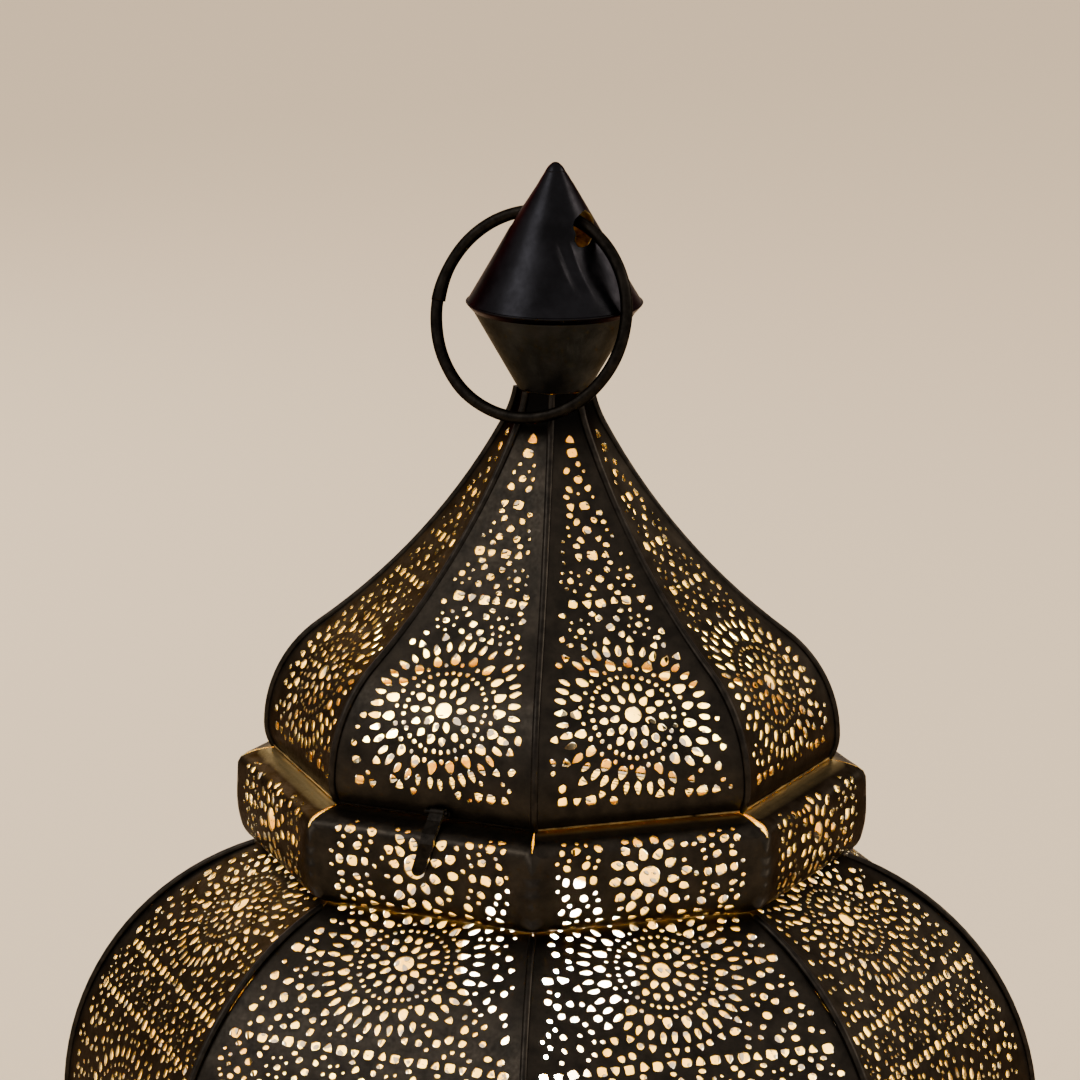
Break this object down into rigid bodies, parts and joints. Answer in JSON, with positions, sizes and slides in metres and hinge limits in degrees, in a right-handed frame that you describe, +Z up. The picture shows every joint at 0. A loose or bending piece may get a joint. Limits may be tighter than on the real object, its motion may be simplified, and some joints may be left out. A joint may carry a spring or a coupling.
{
  "type": "moroccan metal lantern",
  "caption": "Octagonal pierced metal lantern with a hinged ogee dome lid, latch tongue, double-cone finial with a carrying ring, and a lamp inside.",
  "frame": {"origin": "middle of the base, on the surface the lantern stands on", "axes": "+Z up; -Y towards the face with the latch, +Y towards the lid's hinge, X to the side"},
  "size_m": [0.3054, 0.3054, 0.4964],
  "materials": {
    "black_metal": "satin near-black lacquer on pierced sheet",
    "plated_steel": "zinc plated",
    "black_plastic": "moulded, satin",
    "porcelain": "glazed white",
    "rubber": "matt",
    "bulb_cap_metal": "rolled thread",
    "bulb_glass": "clear, blown",
    "filament": "lit"
  },
  "bodies": {
    "lantern": {"collar_panel_1": "black_metal", "collar_panel_2": "black_metal", "collar_panel_3": "black_metal", "collar_panel_4": "black_metal", "collar_panel_5": "black_metal", "collar_panel_6": "black_metal", "collar_panel_7": "black_metal", "collar_panel_8": "black_metal", "collar_spigot": "black_metal", "hinge_leaf_collar": "black_metal", "hinge_pin": "plated_steel", "body_gore_1": "black_metal", "body_gore_2": "black_metal", "body_gore_3": "black_metal", "body_gore_4": "black_metal", "body_gore_5": "black_metal", "body_gore_6": "black_metal", "body_gore_7": "black_metal", "body_gore_8": "black_metal", "body_ribs": "black_metal", "base_plate": "black_metal", "waist_band": "black_metal", "foot_panel_1": "black_metal", "foot_panel_2": "black_metal", "foot_panel_3": "black_metal", "foot_panel_4": "black_metal", "foot_panel_5": "black_metal", "foot_panel_6": "black_metal", "foot_panel_7": "black_metal", "foot_panel_8": "black_metal", "plinth_band": "black_metal", "cable_grommet": "rubber", "lamp_tube": "plated_steel", "tube_washers": "plated_steel", "tube_nuts": "plated_steel", "holder_cap": "black_plastic", "holder_shell": "black_plastic", "holder_insert": "porcelain"},
    "lid": {"dome_gore_1": "black_metal", "dome_gore_2": "black_metal", "dome_gore_3": "black_metal", "dome_gore_4": "black_metal", "dome_gore_5": "black_metal", "dome_gore_6": "black_metal", "dome_gore_7": "black_metal", "dome_gore_8": "black_metal", "dome_ribs": "black_metal", "dome_base_band": "black_metal", "neck_sleeve": "black_metal", "finial_lower_cone": "black_metal", "finial_upper_cone": "black_metal", "latch_staple": "black_metal", "hinge_leaf_dome": "black_metal"},
    "ring": {"ring_handle": "black_metal"},
    "latch": {"latch_hook": "black_metal"},
    "bulb_base": {"bulb_cap": "bulb_cap_metal"},
    "bulb": {"bulb_glass": "bulb_glass", "bulb_stem": "bulb_glass", "bulb_filaments": "filament"}
  },
  "joints": [
    {"name": "lid_hinge", "type": "hinge", "parent": "lantern", "child": "lid", "pos_m": [0, 0.0914, 0.2986], "axis": [-1, 0, 0], "range_deg": [0, 110]},
    {"name": "latch_hinge", "type": "hinge", "parent": "lid", "child": "latch", "pos_m": [0.0022, -0.0889, 0.2988], "axis": [-1, 0, 0], "range_deg": [0, 115]},
    {"name": "ring_swing", "type": "hinge", "parent": "lid", "child": "ring", "pos_m": [0, 0, 0.4774], "axis": [-0.9922, 0.0368, 0.119], "range_deg": [0, 322]},
    {"name": "bulb_rise", "type": "slide", "parent": "lantern", "child": "bulb_base", "axis": [0, 0, 1], "range_m": [0, 0.022]},
    {"name": "bulb_turn", "type": "hinge", "parent": "bulb_base", "child": "bulb", "pos_m": [0, 0, 0.16], "axis": [0, 0, 1], "range_deg": [0, 2160]}
  ],
  "couplings": [
    {"joint": "bulb_rise", "follows": "bulb_turn", "m_per_rad": 0.000573}
  ]
}
